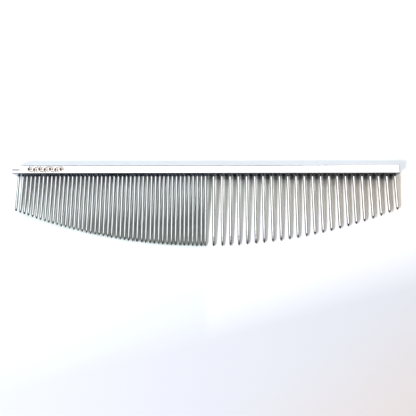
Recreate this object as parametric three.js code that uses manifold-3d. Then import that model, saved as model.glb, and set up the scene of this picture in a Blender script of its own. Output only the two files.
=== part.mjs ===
// Steel grooming comb, 190 mm long, in millimetres.
// Frame: the origin is the middle of the spine's flat underside. +X runs along the spine from the fine end to the
// coarse end, the teeth point to -Y, and +Z is up when the comb lies flat.
//
// Pieces: a hollow rectangular spine with drilled tooth holes, an end plate in each mouth of it, the fine teeth
// (each wire is bent double inside the spine, so one wire makes two neighbouring teeth), and the coarse teeth
// (one straight pin each).
import * as THREE from "three";
import { mergeVertices } from "three/addons/utils/BufferGeometryUtils.js";
import Module from "manifold-3d";

// ---- driving dimensions ----------------------------------------------------------------------------------------
const SPINE_LENGTH = 190; // along X
const SPINE_WIDTH = 4.3; // along Y
const SPINE_HEIGHT = 5.0; // along Z
const WALL = 0.8;
const EDGE_RADIUS = 0.4; // the four long outer edges
const EDGE_STEPS = 4;

const END_PLATE_THICKNESS = 0.7;
const END_PLATE_GAP = 0.03; // round the plate, inside the spine's mouth

const FINE_PAIRS = 23; // wires, two teeth each
const FINE_PITCH = 2.054;
const FINE_RADIUS = 0.62;
const FINE_FIRST_X = -92.37; // the tooth nearest to the fine end

const COARSE_TEETH = 23;
const COARSE_PITCH = 4.055;
const COARSE_RADIUS = 0.73;
const COARSE_FIRST_X = 3.97; // the tooth nearest to the middle

// The tips lie on one arc: the longest teeth are in the middle.
const ARC_RADIUS = 255.5;
const ARC_MIDDLE_X = -0.15;
const LONGEST_TOOTH = 35.45; // free length outside the spine

const HOLE_CLEARANCE = 0.03; // between a tooth and its hole, on the radius
const ROOT_DEPTH = 2.95; // how far a straight root goes into the spine
const TIP_LENGTH = 1.5; // the rounded end of a tooth
const SIDES = 10; // facets round a tooth and its hole
const BEND_STEPS = 6; // steps round a wire's hidden bend

const TOOTH_Z = SPINE_HEIGHT / 2;
const FRONT_Y = -SPINE_WIDTH / 2; // the spine's tooth-side face

// ---- materials -------------------------------------------------------------------------------------------------
const chrome = () => new THREE.MeshStandardMaterial({ color: 0xe2e4e6, roughness: 0.12, metalness: 1 });
const steel = () => new THREE.MeshStandardMaterial({ color: 0xd2d3d4, roughness: 0.2, metalness: 1 });
const plate = () => new THREE.MeshStandardMaterial({ color: 0xcfd1d3, roughness: 0.25, metalness: 1 });

// ---- helpers ---------------------------------------------------------------------------------------------------
const wasm = await Module();
wasm.setup();

function toSolid(geometry) {
  const g = geometry.clone();
  g.deleteAttribute("normal");
  g.deleteAttribute("uv");
  const merged = mergeVertices(g, 1e-4);
  return new wasm.Manifold(
    new wasm.Mesh({
      numProp: 3,
      vertProperties: new Float32Array(merged.attributes.position.array),
      triVerts: new Uint32Array(merged.index.array),
    }),
  );
}

function toGeometry(solid) {
  const m = solid.getMesh();
  const g = new THREE.BufferGeometry();
  const xyz = new Float32Array(m.numVert * 3);
  for (let i = 0; i < m.numVert; i++)
    for (let k = 0; k < 3; k++) xyz[3 * i + k] = m.vertProperties[i * m.numProp + k];
  g.setAttribute("position", new THREE.BufferAttribute(xyz, 3));
  g.setIndex(new THREE.BufferAttribute(new Uint32Array(m.triVerts), 1));
  g.computeVertexNormals();
  return g;
}

function roundedRectangle(width, height, radius, steps) {
  const points = [];
  const corners = [
    [width / 2 - radius, height / 2 - radius, 0],
    [-width / 2 + radius, height / 2 - radius, 90],
    [-width / 2 + radius, -height / 2 + radius, 180],
    [width / 2 - radius, -height / 2 + radius, 270],
  ];
  for (const [cx, cy, from] of corners)
    for (let i = 0; i <= steps; i++) {
      const a = THREE.MathUtils.degToRad(from + (90 * i) / steps);
      points.push(new THREE.Vector2(cx + radius * Math.cos(a), cy + radius * Math.sin(a)));
    }
  return points;
}

// An extrusion along X of a section drawn in the YZ plane, centred on the given X.
function alongX(shape, length, x) {
  const g = new THREE.ExtrudeGeometry(shape, { depth: length, bevelEnabled: false, steps: 1 });
  g.translate(0, 0, -length / 2);
  // section x -> world Y, section y -> world Z, extrusion -> world X
  g.applyMatrix4(new THREE.Matrix4().set(0, 0, 1, x, 1, 0, 0, 0, 0, 1, 0, SPINE_HEIGHT / 2, 0, 0, 0, 1));
  return g;
}

// A round rod along a line of stations in the XY plane. Each station has its centre (x, y), the unit vector (nx, ny)
// across the rod in that plane, and its radius; the first and last are single points.
function rod(stations) {
  const xyz = [];
  const index = [];
  const first = stations[0];
  const last = stations[stations.length - 1];
  xyz.push(first.x, first.y, 0);
  const rings = stations.slice(1, -1);
  for (const s of rings)
    for (let k = 0; k < SIDES; k++) {
      const a = (2 * Math.PI * k) / SIDES;
      const across = s.r * Math.sin(a);
      xyz.push(s.x + s.nx * across, s.y + s.ny * across, s.r * Math.cos(a));
    }
  xyz.push(last.x, last.y, 0);
  const at = (ring, k) => 1 + ring * SIDES + (k % SIDES);
  const end = 1 + rings.length * SIDES;
  for (let k = 0; k < SIDES; k++) {
    index.push(0, at(0, k + 1), at(0, k));
    index.push(end, at(rings.length - 1, k), at(rings.length - 1, k + 1));
    for (let i = 0; i + 1 < rings.length; i++) {
      index.push(at(i, k), at(i, k + 1), at(i + 1, k));
      index.push(at(i, k + 1), at(i + 1, k + 1), at(i + 1, k));
    }
  }
  const g = new THREE.BufferGeometry();
  g.setAttribute("position", new THREE.Float32BufferAttribute(xyz, 3));
  g.setIndex(index);
  g.computeVertexNormals();
  return g;
}

const freeLength = (x) =>
  LONGEST_TOOTH - (ARC_RADIUS - Math.sqrt(ARC_RADIUS ** 2 - (x - ARC_MIDDLE_X) ** 2));

// The rounded tip of a tooth at (x, tipY), from the point upwards.
const tip = (x, tipY, radius, nx) => [
  { x, y: tipY, r: 0, nx, ny: 0 },
  { x, y: tipY + 0.1 * TIP_LENGTH, r: 0.5 * radius, nx, ny: 0 },
  { x, y: tipY + 0.42 * TIP_LENGTH, r: 0.84 * radius, nx, ny: 0 },
  { x, y: tipY + TIP_LENGTH, r: radius, nx, ny: 0 },
];

// ---- pieces ----------------------------------------------------------------------------------------------------
const comb = new THREE.Group();
const add = (name, geometry, material, x = 0, y = 0, z = 0) => {
  const mesh = new THREE.Mesh(geometry, material);
  mesh.name = name;
  mesh.position.set(x, y, z);
  comb.add(mesh);
};

const number = (i) => String(i + 1).padStart(2, "0");
const fineX = (i) => FINE_FIRST_X + i * FINE_PITCH;
const coarseX = (i) => COARSE_FIRST_X + i * COARSE_PITCH;

// Spine: a rectangular tube with rounded outer edges, drilled through its tooth-side wall.
const section = new THREE.Shape(roundedRectangle(SPINE_WIDTH, SPINE_HEIGHT, EDGE_RADIUS, EDGE_STEPS));
const bore = new THREE.Path();
const boreY = SPINE_WIDTH / 2 - WALL;
const boreZ = SPINE_HEIGHT / 2 - WALL;
bore.moveTo(-boreY, -boreZ);
bore.lineTo(-boreY, boreZ);
bore.lineTo(boreY, boreZ);
bore.lineTo(boreY, -boreZ);
bore.closePath();
section.holes.push(bore);
let spine = toSolid(alongX(section, SPINE_LENGTH, 0));
const drill = (x, radius) => {
  const g = new THREE.CylinderGeometry(radius + HOLE_CLEARANCE, radius + HOLE_CLEARANCE, 2 * WALL, SIDES);
  g.translate(x, FRONT_Y, TOOTH_Z);
  spine = spine.subtract(toSolid(g));
};
for (let i = 0; i < 2 * FINE_PAIRS; i++) drill(fineX(i), FINE_RADIUS);
for (let i = 0; i < COARSE_TEETH; i++) drill(coarseX(i), COARSE_RADIUS);
add("spine_tube", toGeometry(spine), chrome());

// End plates, flush in the two mouths of the spine.
for (const [name, side] of [
  ["fine_end_plate", -1],
  ["coarse_end_plate", 1],
]) {
  const shape = new THREE.Shape(
    roundedRectangle(2 * (boreY - END_PLATE_GAP), 2 * (boreZ - END_PLATE_GAP), 0.1, 1),
  );
  const x = (side * (SPINE_LENGTH - END_PLATE_THICKNESS)) / 2;
  add(name, alongX(shape, END_PLATE_THICKNESS, x), plate());
}

// Fine teeth: each wire comes in through one hole, turns back inside the spine and goes out through the next.
const bendRadius = FINE_PITCH / 2;
const bendY = FRONT_Y + 2.95 - bendRadius - FINE_RADIUS; // centre of the bend
for (let p = 0; p < FINE_PAIRS; p++) {
  const left = -bendRadius;
  const right = bendRadius;
  const middle = (fineX(2 * p) + fineX(2 * p + 1)) / 2;
  const tipLeft = FRONT_Y - freeLength(middle + left);
  const tipRight = FRONT_Y - freeLength(middle + right);
  const stations = tip(left, tipLeft, FINE_RADIUS, 1);
  const bend = new THREE.ArcCurve(0, bendY, bendRadius, Math.PI, 0, true);
  for (let i = 0; i <= BEND_STEPS; i++) {
    const point = bend.getPoint(i / BEND_STEPS);
    const nx = -(point.x - 0) / bendRadius;
    const ny = -(point.y - bendY) / bendRadius;
    stations.push({ x: point.x, y: point.y, r: FINE_RADIUS, nx, ny });
  }
  stations.push(...tip(right, tipRight, FINE_RADIUS, -1).reverse());
  add("fine_tooth_pair_" + number(p), rod(stations), steel(), middle, 0, TOOTH_Z);
}

// Coarse teeth: straight pins.
for (let i = 0; i < COARSE_TEETH; i++) {
  const x = coarseX(i);
  const rootY = FRONT_Y + ROOT_DEPTH;
  const stations = [
    ...tip(0, FRONT_Y - freeLength(x), COARSE_RADIUS, 1),
    { x: 0, y: rootY, r: COARSE_RADIUS, nx: 1, ny: 0 },
    { x: 0, y: rootY, r: 0, nx: 1, ny: 0 },
  ];
  add("coarse_tooth_" + number(i), rod(stations), steel(), x, 0, TOOTH_Z);
}

export default comb;
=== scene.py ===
import math
import random

import bmesh
import bpy
from mathutils import Matrix, Vector


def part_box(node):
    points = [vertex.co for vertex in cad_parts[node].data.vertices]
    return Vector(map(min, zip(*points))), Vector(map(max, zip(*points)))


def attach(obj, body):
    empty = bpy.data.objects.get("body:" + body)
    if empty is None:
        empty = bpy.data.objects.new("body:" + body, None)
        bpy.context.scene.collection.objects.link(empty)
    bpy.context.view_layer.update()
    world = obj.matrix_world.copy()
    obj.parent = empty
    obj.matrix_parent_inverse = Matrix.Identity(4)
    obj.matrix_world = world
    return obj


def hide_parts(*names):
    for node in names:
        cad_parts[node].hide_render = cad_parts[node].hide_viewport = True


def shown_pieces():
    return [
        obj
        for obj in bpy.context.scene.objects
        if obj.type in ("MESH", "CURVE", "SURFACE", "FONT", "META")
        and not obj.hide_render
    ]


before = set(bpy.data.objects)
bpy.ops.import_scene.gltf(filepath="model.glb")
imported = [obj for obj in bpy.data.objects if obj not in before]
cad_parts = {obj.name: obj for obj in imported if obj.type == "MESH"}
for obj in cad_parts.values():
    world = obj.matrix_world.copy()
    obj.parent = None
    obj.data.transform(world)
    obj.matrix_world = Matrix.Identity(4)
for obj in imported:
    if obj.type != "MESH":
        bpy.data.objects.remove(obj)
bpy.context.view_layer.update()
MM = 0.001

# ------------------------------------------------------------------------------------------------------------------
# Where everything is, from the CAD nodes (millimetres here, metres in the meshes).
# ------------------------------------------------------------------------------------------------------------------
lo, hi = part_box("spine_tube")
X0, X1 = lo.x / MM, hi.x / MM
Y0, Y1 = lo.y / MM, hi.y / MM          # Y0 is the tooth-side face
Z0, Z1 = lo.z / MM, hi.z / MM
WALL = 0.8
EDGE_R = 0.40
END_R = 0.35
YC, ZC = (Y0 + Y1) / 2, (Z0 + Z1) / 2

FINE_PITCH = 2.054
FINE_R = 0.62
COARSE_R = 0.73
ROOT_IN = 2.95                          # a root's depth in the spine
HOLE_GAP = 0.03

names = sorted(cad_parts)
pairs = [n for n in names if n.startswith("fine_tooth_pair_")]
coarse = [n for n in names if n.startswith("coarse_tooth_")]

fine_x, coarse_x = [], []
for n in pairs:
    a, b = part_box(n)
    mid = (a.x + b.x) / 2 / MM
    fine_x.append((mid - FINE_PITCH / 2, mid + FINE_PITCH / 2))
for n in coarse:
    a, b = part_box(n)
    coarse_x.append((a.x + b.x) / 2 / MM)


def free_tip(x):
    """The Y of the tip of a tooth at x: the tips lie on one arc."""
    return Y0 - (35.45 - (255.5 - math.sqrt(255.5**2 - (x + 0.15) ** 2)))


# ------------------------------------------------------------------------------------------------------------------
# Materials. All patterns are in object space, in metres, so their scale is the real one.
# ------------------------------------------------------------------------------------------------------------------
def new_material(name):
    m = bpy.data.materials.new(name)
    m.use_nodes = True
    nt = m.node_tree
    nt.nodes.clear()
    out = nt.nodes.new("ShaderNodeOutputMaterial")
    p = nt.nodes.new("ShaderNodeBsdfPrincipled")
    nt.links.new(p.outputs[0], out.inputs["Surface"])
    return m, nt, p


def coords(nt, scale):
    tc = nt.nodes.new("ShaderNodeTexCoord")
    mp = nt.nodes.new("ShaderNodeMapping")
    mp.inputs["Scale"].default_value = scale
    nt.links.new(tc.outputs["Object"], mp.inputs["Vector"])
    return mp.outputs[0]


def noise(nt, scale, detail=4.0, rough=0.55, size=1.0):
    n = nt.nodes.new("ShaderNodeTexNoise")
    n.inputs["Scale"].default_value = size
    n.inputs["Detail"].default_value = detail
    n.inputs["Roughness"].default_value = rough
    nt.links.new(coords(nt, scale), n.inputs["Vector"])
    return n.outputs["Fac"]


def ramp(nt, fac, stops):
    r = nt.nodes.new("ShaderNodeValToRGB")
    r.color_ramp.interpolation = "EASE"
    el = r.color_ramp.elements
    while len(el) > 1:
        el.remove(el[-1])
    el[0].position, el[0].color = stops[0][0], (*stops[0][1], 1)
    for pos, col in stops[1:]:
        e = el.new(pos)
        e.color = (*col, 1)
    nt.links.new(fac, r.inputs[0])
    return r.outputs[0]


def remap(nt, fac, a, b, c, d):
    r = nt.nodes.new("ShaderNodeMapRange")
    r.inputs["From Min"].default_value = a
    r.inputs["From Max"].default_value = b
    r.inputs["To Min"].default_value = c
    r.inputs["To Max"].default_value = d
    nt.links.new(fac, r.inputs["Value"])
    return r.outputs["Result"]


def math_node(nt, op, a, b):
    m = nt.nodes.new("ShaderNodeMath")
    m.operation = op
    for i, v in enumerate((a, b)):
        if isinstance(v, (int, float)):
            m.inputs[i].default_value = v
        else:
            nt.links.new(v, m.inputs[i])
    return m.outputs[0]


def mix_colour(nt, fac, a, b, blend="MIX"):
    m = nt.nodes.new("ShaderNodeMix")
    m.data_type = "RGBA"
    m.blend_type = blend
    if isinstance(fac, (int, float)):
        m.inputs[0].default_value = fac
    else:
        nt.links.new(fac, m.inputs[0])
    for sock, v in ((m.inputs[6], a), (m.inputs[7], b)):
        if isinstance(v, tuple):
            sock.default_value = (*v, 1)
        else:
            nt.links.new(v, sock)
    return m.outputs[2]


def bump(nt, height, strength, distance, into=None):
    b = nt.nodes.new("ShaderNodeBump")
    b.inputs["Strength"].default_value = strength
    b.inputs["Distance"].default_value = distance
    nt.links.new(height, b.inputs["Height"])
    if into is not None:
        nt.links.new(into, b.inputs["Normal"])
    return b.outputs[0]


def plated(name, clean, worn, line_scale, rough_lo, rough_hi, line_bump, wave_bump, root_shade=None):
    """Polished plated steel: lengthwise polishing lines, clouds of haze, a few fine scratches.

    The last argument, when given, is (y where it starts, y where it is full, how much light it keeps, and x from clean
    to full if it fades along the spine): painted shade, a darker colour at the tooth roots and on the spine's tooth
    side, where shade falls."""
    m, nt, p = new_material(name)
    p.inputs["Metallic"].default_value = 1.0
    haze = noise(nt, (70, 160, 160), 5.0, 0.6)
    lines = noise(nt, line_scale, 3.0, 0.6)
    scratch_n = noise(nt, tuple(s * 0.55 for s in line_scale), 2.0, 0.7)
    scratches = remap(nt, scratch_n, 0.66, 0.74, 0.0, 1.0)
    tone = mix_colour(nt, remap(nt, haze, 0.35, 0.75, 0.0, 1.0), clean, worn)
    tone = mix_colour(nt, math_node(nt, "MULTIPLY", scratches, 0.25), tone, tuple(c * 0.72 for c in worn))
    # Painted shade: the colour is darkened by the spine's tooth-side face, where the roots sit in shade.
    if root_shade:
        pos = nt.nodes.new("ShaderNodeSeparateXYZ")
        nt.links.new(coords(nt, (1, 1, 1)), pos.inputs[0])
        edge = math_node(nt, "ADD", pos.outputs[1], remap(nt, noise(nt, (900, 900, 900), 2.0, 0.5), 0.3, 0.7, -0.00012, 0.00012))
        zone = remap(nt, edge, root_shade[0] * MM, root_shade[1] * MM, 0.0, 1.0)
        if len(root_shade) > 3:
            zone = math_node(nt, "MULTIPLY", zone, remap(nt, pos.outputs[0], root_shade[3] * MM, root_shade[4] * MM, 0.0, 1.0))
        tone = mix_colour(nt, zone, tone, tuple(c * k for c, k in zip(clean, root_shade[2])))
    nt.links.new(tone, p.inputs["Base Color"])
    r = remap(nt, haze, 0.3, 0.75, rough_lo, rough_hi)
    r = math_node(nt, "ADD", r, remap(nt, lines, 0.35, 0.7, 0.0, 0.03))
    r = math_node(nt, "ADD", r, math_node(nt, "MULTIPLY", scratches, 0.08))
    nt.links.new(r, p.inputs["Roughness"])
    b = bump(nt, noise(nt, (28, 90, 90), 2.0, 0.5), 0.35, wave_bump)
    b = bump(nt, lines, 0.3, line_bump, b)
    nt.links.new(b, p.inputs["Normal"])
    return m


# The last tuple of each call below paints shade into the colour: the spine's tooth-side face (fading out towards the
# fine end) and each tooth's last millimetre by the spine are darkened where shade falls at the roots.
SPINE_MAT = plated("spine_chrome_polished", (0.46, 0.465, 0.475), (0.41, 0.415, 0.425),
                   (90, 5200, 5200), 0.05, 0.10, 0.0000010, 0.000006, (Y0 + 0.30, Y0 + 0.06, (0.47, 0.485, 0.51), -82.0, -50.0))
PLATE_MAT = plated("end_plate_dressed", (0.56, 0.56, 0.565), (0.42, 0.42, 0.425),
                   (2600, 2600, 500), 0.16, 0.30, 0.000003, 0.000004)
FINE_MAT = plated("fine_wire_polished", (0.465, 0.482, 0.49), (0.405, 0.42, 0.43),
                  (4200, 110, 4200), 0.03, 0.07, 0.0000004, 0.000003, (Y0 - 1.15, Y0 - 0.35, (0.58, 0.66, 0.80)))
COARSE_MAT = plated("coarse_pin_polished", (0.55, 0.55, 0.55), (0.485, 0.485, 0.485),
                    (4200, 110, 4200), 0.03, 0.07, 0.0000004, 0.000003, (Y0 - 1.15, Y0 - 0.35, (0.34, 0.35, 0.37)))


def mark_material():
    """Copper-brown filled etching, worn and uneven, almost black in places."""
    m, nt, p = new_material("etched_copper_fill")
    grain = noise(nt, (620, 620, 620), 3.0, 0.6)
    wear = noise(nt, (2600, 2600, 2600), 3.0, 0.6)
    tone = mix_colour(nt, remap(nt, grain, 0.42, 0.60, 0.0, 1.0), (0.026, 0.017, 0.013), (0.17, 0.075, 0.036))
    tone = mix_colour(nt, remap(nt, wear, 0.58, 0.72, 0.0, 0.7), tone, (0.28, 0.16, 0.09))
    nt.links.new(tone, p.inputs["Base Color"])
    p.inputs["Metallic"].default_value = 0.0
    p.inputs["Specular IOR Level"].default_value = 0.12
    nt.links.new(remap(nt, grain, 0.3, 0.7, 0.58, 0.80), p.inputs["Roughness"])
    nt.links.new(bump(nt, wear, 0.4, 0.000004), p.inputs["Normal"])
    return m


MARK_MAT = mark_material()


# ------------------------------------------------------------------------------------------------------------------
# Mesh helpers
# ------------------------------------------------------------------------------------------------------------------
def link(name, mesh):
    o = bpy.data.objects.new(name, mesh)
    bpy.context.scene.collection.objects.link(o)
    return o


def mesh_from(name, verts, faces):
    me = bpy.data.meshes.new(name)
    me.from_pydata([tuple(c * MM for c in v) for v in verts], [], faces)
    me.validate()
    return me


def sharpen(me, degrees):
    """Smooth faces, with edges sharper than this angle left sharp."""
    me.polygons.foreach_set("use_smooth", [True] * len(me.polygons))
    me.set_sharp_from_angle(angle=math.radians(degrees))


def rounded_section(dy, dz, r, inset, steps):
    """A rounded rectangle round (YC, ZC), of half sizes dy and dz, shrunk by inset."""
    pts = []
    rr = max(r - inset, 0.05)
    hy, hz = dy - inset, dz - inset
    for cy, cz, a0 in ((hy - rr, hz - rr, 0), (-hy + rr, hz - rr, 90), (-hy + rr, -hz + rr, 180), (hy - rr, -hz + rr, 270)):
        for i in range(steps + 1):
            a = math.radians(a0 + 90 * i / steps)
            pts.append((YC + cy + rr * math.cos(a), ZC + cz + rr * math.sin(a)))
    return pts


def loops_to_solid(loops):
    verts = [v for lp in loops for v in lp]
    n = len(loops[0])
    faces = []
    for i in range(len(loops) - 1):
        for k in range(n):
            a, b = i * n + k, i * n + (k + 1) % n
            faces.append((a, b, b + n, a + n))
    faces.append(tuple(reversed(range(n))))
    faces.append(tuple(range((len(loops) - 1) * n, len(loops) * n)))
    return verts, faces


def make_normals_out(me):
    bm = bmesh.new()
    bm.from_mesh(me)
    bmesh.ops.recalc_face_normals(bm, faces=bm.faces)
    bm.to_mesh(me)
    bm.free()


def end_stations(half, radius, steps=6):
    """(x, inset) from one end of a length to the other, with rounded ends."""
    st = []
    for k in range(steps, -1, -1):
        a = math.radians(90 * k / steps)
        st.append((-half + radius - radius * math.sin(a), radius * (1 - math.cos(a))))
    return st + [(-x, d) for x, d in reversed(st)]


# ------------------------------------------------------------------------------------------------------------------
# Spine: rounded outside, rectangular bore, one drilled hole with a broken rim for each tooth.
# ------------------------------------------------------------------------------------------------------------------
def build_spine():
    half = (X1 - X0) / 2
    xm = (X1 + X0) / 2
    loops = []
    for x, inset in end_stations(half, END_R):
        loops.append([(xm + x, y, z) for y, z in rounded_section((Y1 - Y0) / 2, (Z1 - Z0) / 2, EDGE_R, inset, 9)])
    verts, faces = loops_to_solid(loops)
    me = mesh_from("spine_chromed_tube", verts, faces)
    make_normals_out(me)
    spine = link("spine_chromed_tube", me)
    # cutters: the bore and the tooth holes, in one mesh
    cv, cf = [], []
    by, bz = (Y1 - Y0) / 2 - WALL, (Z1 - Z0) / 2 - WALL
    corner = []
    for cy, cz, a0 in ((by - 0.15, bz - 0.15, 0), (-by + 0.15, bz - 0.15, 90), (-by + 0.15, -bz + 0.15, 180), (by - 0.15, -bz + 0.15, 270)):
        for i in range(4):
            a = math.radians(a0 + 30 * i)
            corner.append((YC + cy + 0.15 * math.cos(a), ZC + cz + 0.15 * math.sin(a)))
    lp = [[(x, y, z) for y, z in corner] for x in (X0 - 2, X1 + 2)]
    v, f = loops_to_solid(lp)
    cv += v
    cf += f
    bore_me = mesh_from("cut_bore", cv, cf)
    make_normals_out(bore_me)
    bore = link("cut_bore", bore_me)
    hv, hf = [], []
    seg = 24
    for xs, r in [(x, FINE_R) for p in fine_x for x in p] and [(x, FINE_R) for p in fine_x for x in p] + [(x, COARSE_R) for x in coarse_x]:
        base = len(hv)
        rr = r + HOLE_GAP
        for y, rad in ((Y0 - 0.5, rr + 0.05 + 0.5), (Y0 + 0.05, rr), (Y0 + WALL + 0.4, rr)):
            for k in range(seg):
                a = 2 * math.pi * k / seg
                hv.append((xs + rad * math.sin(a), y, ZC + rad * math.cos(a)))
        for i in range(2):
            for k in range(seg):
                a, b = base + i * seg + k, base + i * seg + (k + 1) % seg
                hf.append((a, b, b + seg, a + seg))
        hf.append(tuple(reversed(range(base, base + seg))))
        hf.append(tuple(range(base + 2 * seg, base + 3 * seg)))
    holes = []
    # alternate holes go into two cutters, because neighbouring countersinks would touch
    per = 3 * seg
    for part in (0, 1):
        vv, ff = [], []
        for i in range(len(hv) // per):
            if i % 2 != part:
                continue
            off = len(vv)
            vv += hv[i * per:(i + 1) * per]
            for face in hf[i * (2 * seg + 2):(i + 1) * (2 * seg + 2)]:
                ff.append(tuple(j - i * per + off for j in face))
        hm = mesh_from("cut_holes_%d" % part, vv, ff)
        make_normals_out(hm)
        holes.append(link("cut_holes_%d" % part, hm))
    # a shallow press mark that runs out along the top face at the fine end
    my = YC - 0.25
    pv, pf = [], []
    for x, half_w, bottom in ((X0 - 0.5, 0.50, -0.30), (X0 + 2.8, 0.42, -0.23), (X0 + 5.6, 0.12, 0.0)):
        pv += [(x, my - half_w, Z1 + 0.1), (x, my + half_w, Z1 + 0.1), (x, my, Z1 + bottom)]
    for i in (0, 3):
        for k in range(3):
            pf.append((i + k, i + (k + 1) % 3, i + (k + 1) % 3 + 3, i + k + 3))
    pf += [(2, 1, 0), (6, 7, 8)]
    pm = mesh_from("cut_mark", pv, pf)
    make_normals_out(pm)
    holes.append(link("cut_mark", pm))
    for cutter in [bore] + holes:
        mod = spine.modifiers.new("cut", "BOOLEAN")
        mod.operation = "DIFFERENCE"
        mod.solver = "EXACT"
        mod.object = cutter
    dg = bpy.context.evaluated_depsgraph_get()
    done = bpy.data.meshes.new_from_object(spine.evaluated_get(dg), depsgraph=dg)
    spine.modifiers.clear()
    old = spine.data
    spine.data = done
    bpy.data.meshes.remove(old)
    done.name = "spine_chromed_tube"
    for cutter in [bore] + holes:
        bpy.data.objects.remove(cutter)
    done.materials.clear()
    done.materials.append(SPINE_MAT)
    done.polygons.foreach_set("material_index", [0] * len(done.polygons))
    sharpen(done, 32)
    w = spine.modifiers.new("weighted", "WEIGHTED_NORMAL")
    w.mode = "FACE_AREA"
    w.weight = 100
    w.keep_sharp = True
    return spine


spine = build_spine()
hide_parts("spine_tube")
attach(spine, "root")


# End plates: dressed nearly flush in the mouths, with a softened rim.
def build_plate(node, name):
    a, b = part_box(node)
    x0, x1 = a.x / MM, b.x / MM
    outer = 1 if (x0 + x1) > 0 else -1
    hy, hz = (b.y - a.y) / 2 / MM, (b.z - a.z) / 2 / MM
    loops = []
    inner_x, outer_x = (x0, x1) if outer > 0 else (x1, x0)
    for x, inset in ((inner_x, 0.08), (inner_x + outer * 0.08, 0.0), (outer_x - outer * 0.10, 0.0),
                     (outer_x - outer * 0.03, 0.03), (outer_x, 0.10), (outer_x + outer * 0.05, 0.45), (outer_x + outer * 0.07, 0.8)):
        loops.append([(x, y, z) for y, z in rounded_section(hy, hz, 0.16, inset, 4)])
    verts, faces = loops_to_solid(loops)
    me = mesh_from(name, verts, faces)
    make_normals_out(me)
    me.materials.append(PLATE_MAT)
    sharpen(me, 50)
    o = link(name, me)
    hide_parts(node)
    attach(o, "root")
    return o


build_plate("fine_end_plate", "end_plate_fine_side")
build_plate("coarse_end_plate", "end_plate_coarse_side")

# ------------------------------------------------------------------------------------------------------------------
# Teeth: round wire, drawn a little thinner towards a rounded tip, with a thin braze fillet where each meets the spine.
# ------------------------------------------------------------------------------------------------------------------
SEG = 28
rng = random.Random(7)


def tooth_profile(r, tip_y, flare):
    """(y, radius) from the tip to just inside the spine."""
    tip_r = 0.90 * r                      # the wire is drawn a little thinner at the tip
    nose = 1.55 * r * 1.25                # length of the rounded nose
    length = Y0 - tip_y
    prof = []
    for i in range(1, 10):
        t = i / 9
        a = math.pi / 2 * t
        prof.append((tip_y + nose * (1 - math.cos(a)), tip_r * math.sin(a) ** 0.86))
    for t in (0.25, 0.5, 0.75):
        prof.append((tip_y + nose + (7.0 - nose) * t, tip_r + (r - tip_r) * (t * t * (3 - 2 * t))))
    prof.append((tip_y + 7.0, r))
    body = length - 7.0
    for t in (0.25, 0.5, 0.75):
        prof.append((tip_y + 7.0 + body * t, r))
    for k in range(9):                    # the braze: a concave flare that meets the spine's face
        a = math.pi / 2 * k / 8
        prof.append((Y0 - 0.012 - flare[0] * (1 - math.sin(a)), r + flare[1] * (1 - math.cos(a))))
    prof.append((Y0 - 0.004, r + flare[1]))
    prof.append((Y0 - 0.004, r))
    prof.append((Y0 + 0.35, r))
    return prof


def rod_mesh(name, stations):
    """stations: (centre, across, radius) with the first and last on the axis."""
    verts = [stations[0][0]]
    for c, n, r in stations[1:-1]:
        for k in range(SEG):
            a = 2 * math.pi * k / SEG
            s, h = r * math.sin(a), r * math.cos(a)
            verts.append((c[0] + n[0] * s, c[1] + n[1] * s, c[2] + h))
    verts.append(stations[-1][0])
    rings = len(stations) - 2
    faces = []
    last = len(verts) - 1
    for k in range(SEG):
        k2 = (k + 1) % SEG
        faces.append((0, 1 + k2, 1 + k))
        faces.append((last, 1 + (rings - 1) * SEG + k, 1 + (rings - 1) * SEG + k2))
        for i in range(rings - 1):
            a, b = 1 + i * SEG + k, 1 + i * SEG + k2
            faces.append((a, b, b + SEG, a + SEG))
    me = mesh_from(name, verts, faces)
    make_normals_out(me)
    return me


def lean_at(y, tip_y, lean):
    """Sideways shift of a tooth's axis: none at the root, growing to the tip."""
    t = max(0.0, (Y0 - y) / (Y0 - tip_y))
    return lean[0] * t * t * 0.4 + lean[0] * t * 0.6, lean[1] * t


def finish_tooth(me, name, node, material):
    me.materials.append(material)
    sharpen(me, 50)
    o = link(name, me)
    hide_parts(node)
    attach(o, "root")
    return o


for i, (node, (xa, xb)) in enumerate(zip(pairs, fine_x)):
    stations = []
    legs = []
    for x in (xa, xb):
        tip_y = free_tip(x) + rng.uniform(-0.06, 0.06)
        lean = (rng.uniform(-0.09, 0.09), rng.uniform(-0.05, 0.05))
        if node == pairs[-1] and x == xb:
            lean = (-0.22, 0.0)
        legs.append((x, tip_y, lean, tooth_profile(FINE_R, tip_y, (1.25, 0.40))))
    x, tip_y, lean, prof = legs[0]
    dx, dz = lean_at(tip_y, tip_y, lean)
    stations.append(((x + dx, tip_y, ZC + dz), (1, 0), 0))
    for y, r in prof:
        dx, dz = lean_at(y, tip_y, lean)
        stations.append(((x + dx, y, ZC + dz), (1, 0), r))
    mid, br = (xa + xb) / 2, (xb - xa) / 2
    by = Y0 + ROOT_IN - br - FINE_R
    steps = 12
    for k in range(steps + 1):
        a = math.pi - math.pi * k / steps
        stations.append(((mid + br * math.cos(a), by + br * math.sin(a), ZC), (-math.cos(a), -math.sin(a)), FINE_R))
    x, tip_y, lean, prof = legs[1]
    for y, r in reversed(prof):
        dx, dz = lean_at(y, tip_y, lean)
        stations.append(((x + dx, y, ZC + dz), (-1, 0), r))
    dx, dz = lean_at(tip_y, tip_y, lean)
    stations.append(((x + dx, tip_y, ZC + dz), (-1, 0), 0))
    me = rod_mesh("fine_wire_%02d" % (i + 1), stations)
    finish_tooth(me, "fine_wire_%02d" % (i + 1), node, FINE_MAT)

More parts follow.
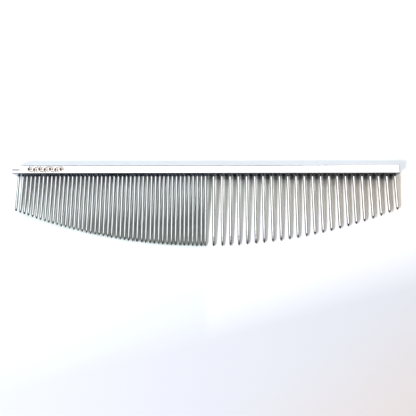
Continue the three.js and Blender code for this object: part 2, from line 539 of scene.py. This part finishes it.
for i, (node, x) in enumerate(zip(coarse, coarse_x)):
    tip_y = free_tip(x) + rng.uniform(-0.07, 0.07)
    lean = (rng.uniform(-0.12, 0.12), rng.uniform(-0.05, 0.05))
    stations = [((x + lean_at(tip_y, tip_y, lean)[0], tip_y, ZC + lean_at(tip_y, tip_y, lean)[1]), (1, 0), 0)]
    for y, r in tooth_profile(COARSE_R, tip_y, (1.15, 0.95)):
        dx, dz = lean_at(y, tip_y, lean)
        stations.append(((x + dx, y, ZC + dz), (1, 0), r))
    top = Y0 + ROOT_IN
    stations.append(((x, top - 0.1, ZC), (1, 0), COARSE_R))
    stations.append(((x, top, ZC), (1, 0), COARSE_R - 0.1))
    stations.append(((x, top, ZC), (1, 0), 0))
    me = rod_mesh("coarse_pin_%02d" % (i + 1), stations)
    finish_tooth(me, "coarse_pin_%02d" % (i + 1), node, COARSE_MAT)


# ------------------------------------------------------------------------------------------------------------------
# Ornament near the fine end: a generic track of paw prints, etched and filled with copper brown.
# ------------------------------------------------------------------------------------------------------------------
def blob(cx, cy, rx, ry, turn, steps=20, bulge=0.0):
    """Outline of an ellipse, fuller at one end, turned and placed."""
    pts = []
    for k in range(steps):
        a = 2 * math.pi * k / steps
        u, v = rx * math.cos(a), ry * math.sin(a)
        v *= 1.0 - bulge * math.cos(a)
        c, s = math.cos(turn), math.sin(turn)
        pts.append((cx + u * c - v * s, cy + u * s + v * c))
    return pts


def build_ornament():
    verts, faces = [], []
    low, high = Z1 - 0.012, Z1 + 0.008

    def extrude(outline):
        base, n = len(verts), len(outline)
        verts.extend([(x, y, low) for x, y in outline] + [(x, y, high) for x, y in outline])
        for k in range(n):
            a, b = base + k, base + (k + 1) % n
            faces.append((a, b, b + n, a + n))
        faces.append(tuple(reversed(range(base, base + n))))
        faces.append(tuple(range(base + n, base + 2 * n)))

    def paw(cx, cy, turn, s):
        def place(u, v):
            c, sn = math.cos(turn), math.sin(turn)
            return cx + s * (u * c - v * sn), cy + s * (u * sn + v * c)

        # heel pad with three lobes merged into one outline, and four toes in front of it
        pad = []
        for k in range(36):
            a = 2 * math.pi * k / 36
            rad = 0.56 + 0.055 * math.cos(3 * a) + 0.04 * math.cos(a)
            pad.append(place(-0.36 + rad * math.cos(a) * 0.86, rad * math.sin(a) * 1.18))
        extrude(pad)
        for u, v, ru, rv, t in ((0.13, 0.86, 0.36, 0.22, 26), (0.66, 0.33, 0.38, 0.24, 8), (0.66, -0.33, 0.38, 0.24, -8), (0.13, -0.86, 0.36, 0.22, -26)):
            extrude(blob(*place(u, v), ru * s, rv * s, turn + math.radians(t), 16, 0.1))

    def leaf(cx, cy, turn, s):
        pts = []
        for k in range(24):
            t = k / 24 * 2
            u = (t if t <= 1 else 2 - t) * 2 - 1
            w = (1 - u * u) * 0.30 * (1 - 0.25 * u)
            v = w if t <= 1 else -w
            c, sn = math.cos(turn), math.sin(turn)
            pts.append((cx + s * (u * c - v * sn), cy + s * (u * sn + v * c)))
        extrude(pts)

    cy = YC + 0.05
    n = 7
    for k in range(n):
        x = -86.45 + k * 2.62
        up = 1 if k % 2 == 0 else -1
        paw(x, cy + 0.14 * up, math.radians(9 * up), 1.22)
        if k < n - 1:
            leaf(x + 1.36, cy - 1.20 * up, math.radians(-7 * up), 0.74)
            leaf(x + 1.38, cy + 1.22 * up, math.radians(8 * up), 0.56)
    me = mesh_from("etched_paw_track", verts, faces)
    make_normals_out(me)
    me.materials.append(MARK_MAT)
    sharpen(me, 40)
    o = link("etched_paw_track", me)
    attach(o, "root")
    return o


build_ornament()

# ------------------------------------------------------------------------------------------------------------------
# Stage: the comb rests on its spine and on its longest tips, so the floor is tilted a little in the comb's frame.
# ------------------------------------------------------------------------------------------------------------------
bpy.context.view_layer.update()
spine_yz, tooth_yz = [], []
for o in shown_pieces():
    if o.name.startswith("spine"):
        spine_yz += [(v.co.y, v.co.z) for v in o.data.vertices]
    elif o.name.startswith(("fine_wire", "coarse_pin")):
        tooth_yz += [(v.co.y, v.co.z) for v in o.data.vertices if v.co.y < (Y0 - 5) * MM]
s_lo, s_hi = 0.0, 0.2
for _ in range(40):
    s = (s_lo + s_hi) / 2
    if min(z + s * y for y, z in tooth_yz) > min(z + s * y for y, z in spine_yz):
        s_lo = s
    else:
        s_hi = s
slope = (s_lo + s_hi) / 2
level = min(z + slope * y for y, z in spine_yz) - 0.00001

floor_me = bpy.data.meshes.new("stage_floor")
bm = bmesh.new()
bmesh.ops.create_grid(bm, x_segments=8, y_segments=8, size=2.0)
bm.to_mesh(floor_me)
bm.free()
floor = link("stage_floor", floor_me)
floor.location = (0, 0, level)
floor.rotation_euler = (-math.atan(slope), 0, 0)
fm, nt, p = new_material("stage_pale_table")
p.inputs["Roughness"].default_value = 0.55
p.inputs["Specular IOR Level"].default_value = 0.25
table = mix_colour(nt, remap(nt, noise(nt, (9, 9, 9), 3.0, 0.5), 0.3, 0.7, 0.0, 1.0), (0.80, 0.815, 0.86), (0.82, 0.83, 0.865))
where = nt.nodes.new("ShaderNodeSeparateXYZ")
nt.links.new(coords(nt, (1, 1, 1)), where.inputs[0])
east = where.outputs[0]
nearness = math_node(nt, "SUBTRACT", math_node(nt, "MULTIPLY", east, 0.25), where.outputs[1])
corner = math_node(nt, "SUBTRACT", math_node(nt, "MULTIPLY", east, 0.6), where.outputs[1])
below = remap(nt, where.outputs[1], 0.002, -0.006, 0.0, 1.0)
# Painted shadow tint: behind the spine, where the spine's shadow falls, the floor is made bluish.
shade = mix_colour(nt, remap(nt, where.outputs[1], -0.0005, 0.0015, 0.0, 1.0), table, (0.83, 0.88, 0.97))
# Painted light and shade under the fine teeth: the floor is darker between the fine teeth away from the spine, and
# lighter and bluer close to the spine, to lift the spine's shade there.
painted_fine_gap_light_and_shade = mix_colour(nt, remap(nt, where.outputs[1], -0.0150, -0.0070, 0.0, 1.0), (0.650, 0.700, 0.705), (0.90, 0.96, 1.0))
cool = mix_colour(nt, math_node(nt, "MULTIPLY", below, remap(nt, east, 0.006, -0.002, 0.0, 1.0)), shade, painted_fine_gap_light_and_shade)
# Painted light: under the coarse teeth the floor is made lighter, so the gaps between them come out brighter.
painted_coarse_gap_light = mix_colour(nt, math_node(nt, "MULTIPLY", below, remap(nt, east, 0.000, 0.008, 0.0, 1.0)), cool, (0.92, 0.945, 0.95))
# Painted shadow tint: towards the coarse end the floor in front of the spine turns warm, so the shade between the
# coarse teeth comes out beige.
warm = mix_colour(nt, math_node(nt, "MULTIPLY", below, remap(nt, east, 0.02, 0.088, 0.0, 1.0)), painted_coarse_gap_light, (0.96, 0.895, 0.855))
# From about 16 to 30 mm in front of the spine the painted patches fade back to the plain table colour.
low = math_node(nt, "MULTIPLY", remap(nt, where.outputs[1], -0.016, -0.030, 0.0, 1.0), remap(nt, east, 0.000, 0.008, 0.0, 1.0))
lavender = mix_colour(nt, low, warm, (0.80, 0.81, 0.87))
# Painted shade: the floor is darker towards the right and towards the front, and pinkish in the front-right corner,
# standing in for the light falling off away from the lamps.
right = mix_colour(nt, remap(nt, east, 0.099, 0.190, 0.0, 1.0), lavender, (0.60, 0.60, 0.65))
front = mix_colour(nt, remap(nt, nearness, 0.046, 0.082, 0.0, 1.0), right, (0.545, 0.555, 0.61))
open_table = mix_colour(nt, remap(nt, corner, 0.115, 0.180, 0.0, 1.0), front, (0.575, 0.515, 0.505))
# Painted contact shadow: a dark band on the floor along the foot of the spine's tooth side, under the coarse teeth
# only.
painted_contact_shadow = remap(nt, where.outputs[1], -0.0046, -0.0030, 0.0, 0.62)
painted_contact_shadow = math_node(nt, "MULTIPLY", painted_contact_shadow, remap(nt, where.outputs[1], -0.0010, -0.0020, 0.0, 1.0))
painted_contact_shadow = math_node(nt, "MULTIPLY", painted_contact_shadow, remap(nt, east, 0.0950, 0.0935, 0.0, 1.0))
painted_contact_shadow = math_node(nt, "MULTIPLY", painted_contact_shadow, remap(nt, east, 0.0010, 0.0035, 0.0, 1.0))
nt.links.new(mix_colour(nt, painted_contact_shadow, open_table, (0.10, 0.11, 0.12)), p.inputs["Base Color"])
floor_me.materials.append(fm)

# World: a studio room, built from soft sectors: three heights, and four sides for the lower two. Every one is a plain
# colour, and each fades into the next.
ROOM = {
    "low": {"left": (0.03, 0.035, 0.04), "right": (0.04, 0.035, 0.03), "front": (0.02, 0.02, 0.02), "back": (0.04, 0.04, 0.04)},
    "mid": {"left": (0.05, 0.055, 0.06), "right": (0.06, 0.055, 0.05), "front": (0.07, 0.07, 0.07), "back": (0.12, 0.12, 0.125)},
    "top": (0.05, 0.05, 0.05),
}


def build_world(room):
    world = bpy.data.worlds.new("studio")
    bpy.context.scene.world = world
    world.use_nodes = True
    wt = world.node_tree
    wt.nodes.clear()
    new, join = wt.nodes.new, wt.links.new

    def vmath(op, a, b):
        n = new("ShaderNodeVectorMath")
        n.operation = op
        for sock, v in ((n.inputs[0], a), (n.inputs["Scale"] if op == "SCALE" else n.inputs[1], b)):
            if isinstance(v, (int, float, tuple)):
                sock.default_value = v
            else:
                join(v, sock)
        return n.outputs[0]

    tc = new("ShaderNodeTexCoord")
    sep = new("ShaderNodeSeparateXYZ")
    join(tc.outputs["Generated"], sep.inputs[0])
    x, y, z = sep.outputs
    x2, y2 = math_node(wt, "MULTIPLY", x, x), math_node(wt, "MULTIPLY", y, y)
    h2 = math_node(wt, "MAXIMUM", math_node(wt, "ADD", x2, y2), 1e-6)
    side = {}
    for name, v, v2, op in (("left", x, x2, "LESS_THAN"), ("right", x, x2, "GREATER_THAN"), ("front", y, y2, "LESS_THAN"), ("back", y, y2, "GREATER_THAN")):
        side[name] = math_node(wt, "MULTIPLY", math_node(wt, "DIVIDE", v2, h2), math_node(wt, op, v, 0.0))

    def smooth(a, b):
        r = new("ShaderNodeMapRange")
        r.interpolation_type = "SMOOTHSTEP"
        r.inputs["From Min"].default_value = a
        r.inputs["From Max"].default_value = b
        join(z, r.inputs["Value"])
        return r.outputs["Result"]

    up1, up2 = smooth(0.30, 0.62), smooth(0.66, 0.90)
    height = {"low": math_node(wt, "SUBTRACT", 1.0, up1), "mid": math_node(wt, "SUBTRACT", up1, up2), "top": up2}
    total = vmath("SCALE", room["top"], height["top"])
    for level in ("low", "mid"):
        ring = None
        for name in ("left", "right", "front", "back"):
            part = vmath("SCALE", room[level][name], side[name])
            ring = part if ring is None else vmath("ADD", ring, part)
        total = vmath("ADD", total, vmath("SCALE", ring, height[level]))
    bg = new("ShaderNodeBackground")
    out = new("ShaderNodeOutputWorld")
    join(total, bg.inputs["Color"])
    join(bg.outputs[0], out.inputs["Surface"])


build_world(ROOM)


def area(name, place, aim, size, watts, colour, size_y=None):
    d = bpy.data.lights.new(name, "AREA")
    d.shape = "RECTANGLE" if size_y else "SQUARE"
    d.size = size
    if size_y:
        d.size_y = size_y
    d.energy = watts
    d.color = colour
    o = bpy.data.objects.new(name, d)
    bpy.context.scene.collection.objects.link(o)
    o.location = place
    o.rotation_euler = (Vector(aim) - Vector(place)).to_track_quat("-Z", "Y").to_euler()
    o.visible_camera = False
    return o


# Cool window light from behind on the left, a weaker warm one from the front on the left.
def from_slope(sx, sy, distance):
    v = Vector((sx, sy, 1.0))
    v.normalize()
    return v * distance


def left_of(y_slope):
    """Places on one line parallel to the teeth, so that every light there throws a tooth's shadow to the same side."""
    return from_slope(-1.04, y_slope, 1.1)


LIGHTS = (
    # name, place, width, depth, watts, colour, lights the table, shows in the metal
    ("ceiling_strip", (0.0, 0.24, 1.2), 1.42, 0.30, 4.0, (1.0, 0.985, 0.97), False, True),
    ("ceiling_left", (-1.05, 0.24, 1.2), 0.70, 0.30, 1.0, (1.0, 1.0, 1.0), False, True),
    ("ceiling_right", (1.05, 0.24, 1.2), 0.70, 0.30, 1.0, (1.0, 1.0, 1.0), False, True),
    ("lamp_front_left", left_of(-0.86), 0.16, 0.16, 15.5, (0.96, 0.975, 1.0), True, False),
    ("lamp_glint", left_of(-0.86), 0.30, 0.30, 1.2, (1.0, 1.0, 1.0), False, True),
    ("window_left_1", left_of(0.60), 0.20, 0.20, 3.1, (0.90, 0.95, 1.0), True, True),
    ("window_left_2", left_of(1.15), 0.22, 0.22, 3.3, (0.90, 0.95, 1.0), True, True),
    ("wall_left", from_slope(-1.8, 0.42, 1.2), 0.55, 0.40, 0.4, (0.94, 0.95, 1.0), False, True),
    ("wall_back", from_slope(0.0, 0.67, 1.2), 2.20, 1.00, 6.8, (0.985, 1.0, 0.88), True, False),
    ("window_back_right", from_slope(0.90, 1.0, 1.0), 0.60, 0.60, 5.0, (1.0, 0.94, 0.88), True, True),
)
for name, place, width, depth, watts, colour, diffuse, glossy in LIGHTS:
    lamp = area(name, place, (0, -0.01, 0), width, watts, colour, depth)
    lamp.visible_diffuse = diffuse
    lamp.visible_glossy = glossy

# ------------------------------------------------------------------------------------------------------------------
# Camera
# ------------------------------------------------------------------------------------------------------------------
cam_data = bpy.data.cameras.new("camera")
cam = bpy.data.objects.new("camera", cam_data)
bpy.context.scene.collection.objects.link(cam)
right = Vector((0.999978, 0.000281, -0.006691))
up = Vector((0.001043, 0.980404, 0.196997))
back = Vector((0.006615, -0.196999, 0.980381))
cam.matrix_world = Matrix((
    (right.x, up.x, back.x, 2.69 * MM),
    (right.y, up.y, back.y, -62.76 * MM),
    (right.z, up.z, back.z, 220.86 * MM),
    (0, 0, 0, 1)))
cam_data.sensor_fit = "HORIZONTAL"
cam_data.sensor_width = 36.0
cam_data.lens = 36.0 * 457.27 / 416
cam_data.clip_start = 0.005
cam_data.clip_end = 20
cam_data.dof.use_dof = False
bpy.context.scene.camera = cam

bpy.context.scene.view_settings.view_transform = "Standard"
bpy.context.scene.view_settings.look = "None"
bpy.context.scene.view_settings.exposure = 0.0

bpy.context.view_layer.update()
